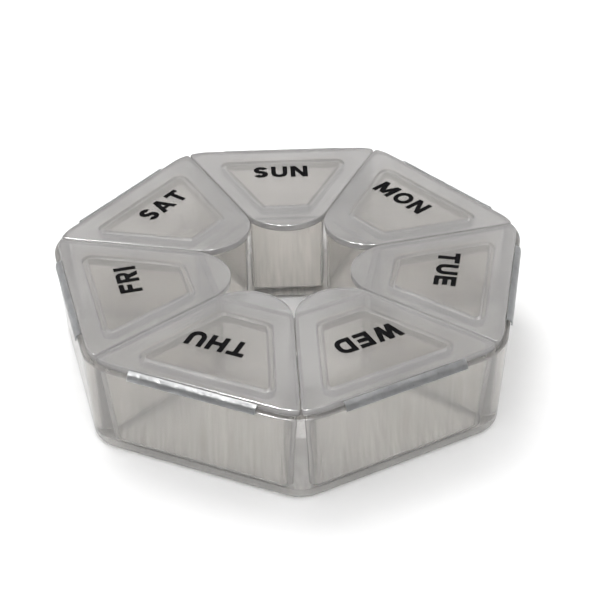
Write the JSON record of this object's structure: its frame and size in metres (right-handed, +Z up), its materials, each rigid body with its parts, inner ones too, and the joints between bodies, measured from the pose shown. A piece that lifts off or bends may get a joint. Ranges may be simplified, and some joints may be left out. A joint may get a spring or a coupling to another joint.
{
  "type": "pill organizer",
  "caption": "Seven-sided translucent pill box: a tray of wedge compartments round an open central well, each with a flap lid on a living hinge at the outer edge.",
  "frame": {"origin": "under the middle of the outline, at table level; the axis of the central well is 1.4 mm away towards +Y", "axes": "+Z up, parallel to the well's axis, +Y towards the middle of the SUN side; the other days follow clockwise seen from above"},
  "size_m": [0.0822, 0.0812, 0.0179],
  "materials": {
    "tray": "translucent natural polypropylene, lightly glossy",
    "lid": "translucent natural polypropylene, lightly glossy",
    "hinge": "stress-whitened polypropylene",
    "ink": "black printed ink"
  },
  "bodies": {
    "tray": {"tray": "tray"},
    "lid_sun": {"lid_sun": "lid", "hinge_sun": "hinge", "legend_sun": "ink"},
    "lid_mon": {"lid_mon": "lid", "hinge_mon": "hinge", "legend_mon": "ink"},
    "lid_tue": {"lid_tue": "lid", "hinge_tue": "hinge", "legend_tue": "ink"},
    "lid_wed": {"lid_wed": "lid", "hinge_wed": "hinge", "legend_wed": "ink"},
    "lid_thu": {"lid_thu": "lid", "hinge_thu": "hinge", "legend_thu": "ink"},
    "lid_fri": {"lid_fri": "lid", "hinge_fri": "hinge", "legend_fri": "ink"},
    "lid_sat": {"lid_sat": "lid", "hinge_sat": "hinge", "legend_sat": "ink"}
  },
  "joints": [
    {"name": "open_sun", "type": "hinge", "parent": "tray", "child": "lid_sun", "pos_m": [0, 0.04039, 0.0167], "axis": [-1, 0, 0], "range_deg": [0, 175], "deforming": ["hinge_sun"]},
    {"name": "open_mon", "type": "hinge", "parent": "tray", "child": "lid_mon", "pos_m": [0.03049, 0.0257, 0.0167], "axis": [-0.6235, 0.7818, 0], "range_deg": [0, 175], "deforming": ["hinge_mon"]},
    {"name": "open_tue", "type": "hinge", "parent": "tray", "child": "lid_tue", "pos_m": [0.03802, -0.00729, 0.0167], "axis": [0.2225, 0.9749, 0], "range_deg": [0, 175], "deforming": ["hinge_tue"]},
    {"name": "open_wed", "type": "hinge", "parent": "tray", "child": "lid_wed", "pos_m": [0.01692, -0.03375, 0.0167], "axis": [0.901, 0.4339, 0], "range_deg": [0, 175], "deforming": ["hinge_wed"]},
    {"name": "open_thu", "type": "hinge", "parent": "tray", "child": "lid_thu", "pos_m": [-0.01692, -0.03375, 0.0167], "axis": [0.901, -0.4339, 0], "range_deg": [0, 175], "deforming": ["hinge_thu"]},
    {"name": "open_fri", "type": "hinge", "parent": "tray", "child": "lid_fri", "pos_m": [-0.03802, -0.00729, 0.0167], "axis": [0.2225, -0.9749, 0], "range_deg": [0, 175], "deforming": ["hinge_fri"]},
    {"name": "open_sat", "type": "hinge", "parent": "tray", "child": "lid_sat", "pos_m": [-0.03049, 0.0257, 0.0167], "axis": [-0.6235, -0.7818, 0], "range_deg": [0, 175], "deforming": ["hinge_sat"]}
  ]
}
